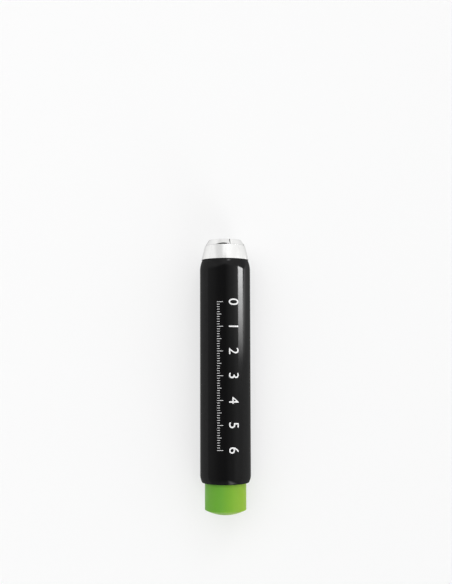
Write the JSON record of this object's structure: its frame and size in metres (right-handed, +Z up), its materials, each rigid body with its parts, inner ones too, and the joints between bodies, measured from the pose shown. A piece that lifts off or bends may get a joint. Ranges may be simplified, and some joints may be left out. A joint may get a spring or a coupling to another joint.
{
  "type": "crayon holder",
  "caption": "Push-button clutch holder for wax crayons: a round black barrel, bright nose cone, sprung collet jaws and a green button at the rear.",
  "frame": {"origin": "on the ground plane under the middle of the holder, lying on its barrel", "axes": "+Y along the holder's axis towards the jaws, +Z up"},
  "size_m": [0.021, 0.1134, 0.021],
  "materials": {
    "black_plastic": "glossy",
    "bright_metal": "polished",
    "spring_steel": "bright drawn",
    "green_plastic": "satin"
  },
  "bodies": {
    "barrel": {"barrel": "black_plastic", "nose_cone": "bright_metal", "return_spring": "spring_steel"},
    "plunger": {"collet_tube": "bright_metal", "spring_collar": "spring_steel", "push_button": "green_plastic"},
    "jaw_1": {"jaw_1": "bright_metal"},
    "jaw_2": {"jaw_2": "bright_metal"},
    "jaw_3": {"jaw_3": "bright_metal"},
    "jaw_4": {"jaw_4": "bright_metal"}
  },
  "joints": [
    {"name": "button_press", "type": "slide", "parent": "barrel", "child": "plunger", "axis": [0, 1, 0], "range_m": [0, 0.008], "stiffness_N_per_m": 165, "springref_m": -0.024, "deforming": ["return_spring"]},
    {"name": "jaw_1_open", "type": "hinge", "parent": "plunger", "child": "jaw_1", "pos_m": [-0.00372, 0.0407, 0.01705], "axis": [0.8704, 0, 0.4924], "range_deg": [0, 4]},
    {"name": "jaw_2_open", "type": "hinge", "parent": "plunger", "child": "jaw_2", "pos_m": [0.00657, 0.0407, 0.01419], "axis": [0.4924, 0, -0.8704], "range_deg": [0, 4]},
    {"name": "jaw_3_open", "type": "hinge", "parent": "plunger", "child": "jaw_3", "pos_m": [0.00372, 0.0407, 0.00391], "axis": [-0.8704, 0, -0.4924], "range_deg": [0, 4]},
    {"name": "jaw_4_open", "type": "hinge", "parent": "plunger", "child": "jaw_4", "pos_m": [-0.00657, 0.0407, 0.00676], "axis": [-0.4924, 0, 0.8704], "range_deg": [0, 4]}
  ],
  "couplings": [
    {"joint": "jaw_1_open", "follows": "button_press", "rad_per_m": 8.72},
    {"joint": "jaw_2_open", "follows": "button_press", "rad_per_m": 8.72},
    {"joint": "jaw_3_open", "follows": "button_press", "rad_per_m": 8.72},
    {"joint": "jaw_4_open", "follows": "button_press", "rad_per_m": 8.72}
  ]
}
